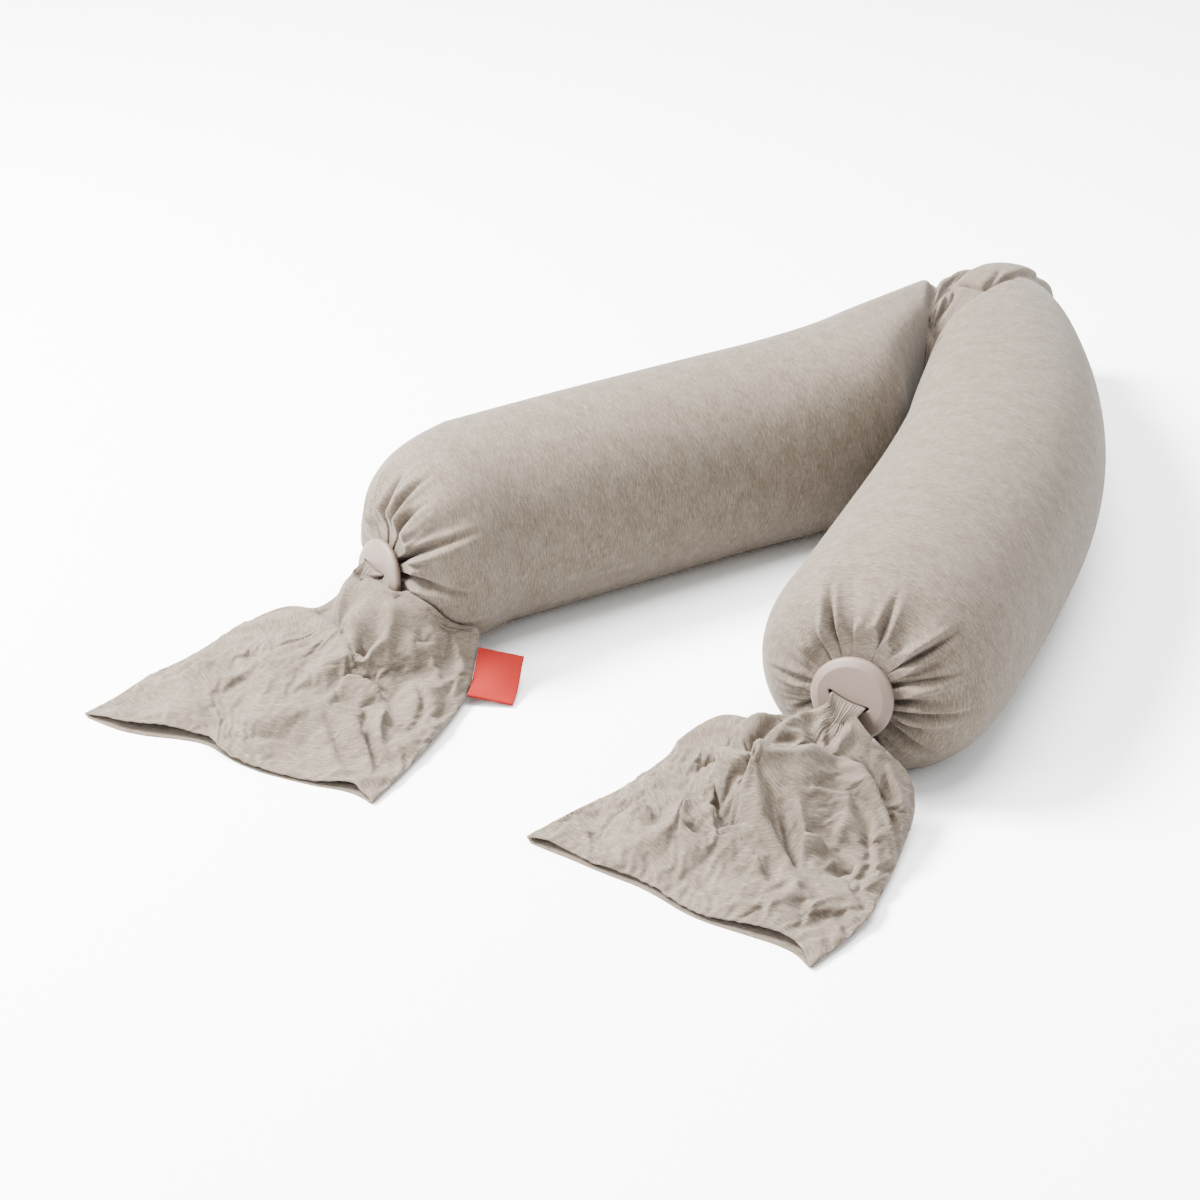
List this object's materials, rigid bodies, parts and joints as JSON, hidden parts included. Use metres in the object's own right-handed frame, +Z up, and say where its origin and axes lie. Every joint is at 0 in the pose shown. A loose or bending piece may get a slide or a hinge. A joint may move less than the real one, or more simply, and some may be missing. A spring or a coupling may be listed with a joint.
{
  "type": "pregnancy pillow",
  "caption": "Long filled pregnancy pillow folded into a V on the floor, its jersey cover gathered through slotted discs into open sleeve tails, with a small side tab.",
  "frame": {"origin": "middle of the footprint, on the floor", "axes": "+Y runs from the open sleeve ends to the fold of the V, +Z is up, and the floor is z = 0"},
  "size_m": [0.808, 1.2637, 0.2131],
  "materials": {
    "jersey": "matt mottled melange jersey",
    "silicone": "matt silicone",
    "woven_tab": "matt woven ribbon"
  },
  "bodies": {
    "root": {"pillow_body": "jersey", "tail_left": "jersey", "tail_right": "jersey", "disc_left": "silicone", "disc_right": "silicone", "label": "woven_tab"}
  },
  "joints": []
}
